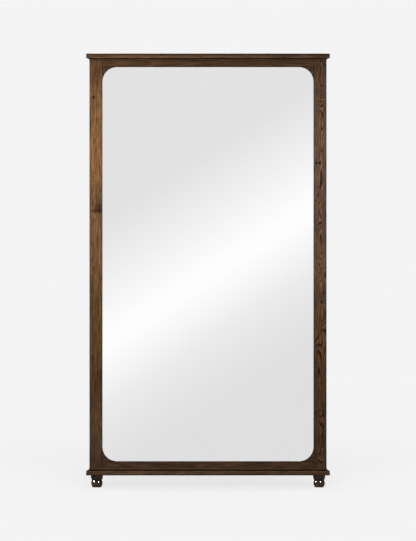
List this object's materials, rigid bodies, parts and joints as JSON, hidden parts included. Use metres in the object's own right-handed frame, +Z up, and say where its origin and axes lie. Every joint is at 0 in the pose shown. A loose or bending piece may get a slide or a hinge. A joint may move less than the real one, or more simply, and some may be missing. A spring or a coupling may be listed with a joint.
{
  "type": "floor mirror",
  "caption": "Full-length floor mirror in a fixed stained wood frame with a moulded cap and base, rounded opening corners and turned ball feet; swinging D-rings at the back take wall straps.",
  "frame": {"origin": "on the floor, in the middle of the outer size across and from front to back", "axes": "+X to the right as seen from the front, +Y from the front to the back, +Z up"},
  "size_m": [1.118, 0.075, 1.99],
  "materials": {
    "stained_oak": "dark brown antique stain under satin lacquer, worn lighter in places",
    "lacquered_oak": "dark brown stain under gloss lacquer",
    "raw_beech": "unfinished, sanded",
    "raw_pine": "unfinished, planed",
    "hardboard": "smooth pressed fibre",
    "silvered_glass": "polished float glass, silvered at the back",
    "backing_film": "matt grey paint and film",
    "black_foam": "matt foam",
    "black_rubber": "matt moulded rubber",
    "felt": "pressed wool felt",
    "zinc_steel": "bright zinc plate"
  },
  "bodies": {
    "frame": {"left_stile": "stained_oak", "right_stile": "stained_oak", "top_rail": "stained_oak", "bottom_rail": "stained_oak", "corner_block_top_left": "stained_oak", "corner_block_top_right": "stained_oak", "corner_block_bottom_left": "stained_oak", "corner_block_bottom_right": "stained_oak", "cap_board": "stained_oak", "cap_cove_front": "stained_oak", "cap_cove_left": "stained_oak", "cap_cove_right": "stained_oak", "cap_dowels": "raw_beech", "base_board": "stained_oak", "base_cove_front": "stained_oak", "base_cove_left": "stained_oak", "base_cove_right": "stained_oak", "base_screws": "zinc_steel", "left_foot": "lacquered_oak", "right_foot": "lacquered_oak", "left_foot_bolt": "zinc_steel", "right_foot_bolt": "zinc_steel", "left_foot_insert": "zinc_steel", "right_foot_insert": "zinc_steel", "left_foot_pad": "felt", "right_foot_pad": "felt", "mirror_glass": "silvered_glass", "safety_film": "backing_film", "glazing_tape": "black_foam", "setting_blocks": "black_rubber", "edge_spacers": "black_rubber", "back_panel": "hardboard", "back_panel_screws": "zinc_steel", "upper_batten": "raw_pine", "lower_batten": "raw_pine", "batten_screws": "zinc_steel", "corner_braces": "zinc_steel", "brace_screws": "zinc_steel", "left_hanger_strap": "zinc_steel", "right_hanger_strap": "zinc_steel", "hanger_screws": "zinc_steel", "left_wall_bumper": "black_rubber", "right_wall_bumper": "black_rubber", "bumper_screws": "zinc_steel"},
    "left_ring": {"left_hanger_ring": "zinc_steel"},
    "right_ring": {"right_hanger_ring": "zinc_steel"}
  },
  "joints": [
    {"name": "left_ring_hinge", "type": "hinge", "parent": "frame", "child": "left_ring", "pos_m": [-0.525, 0.0313, 1.65], "axis": [1, 0, 0], "range_deg": [0, 180]},
    {"name": "right_ring_hinge", "type": "hinge", "parent": "frame", "child": "right_ring", "pos_m": [0.525, 0.0313, 1.65], "axis": [1, 0, 0], "range_deg": [0, 180]}
  ]
}
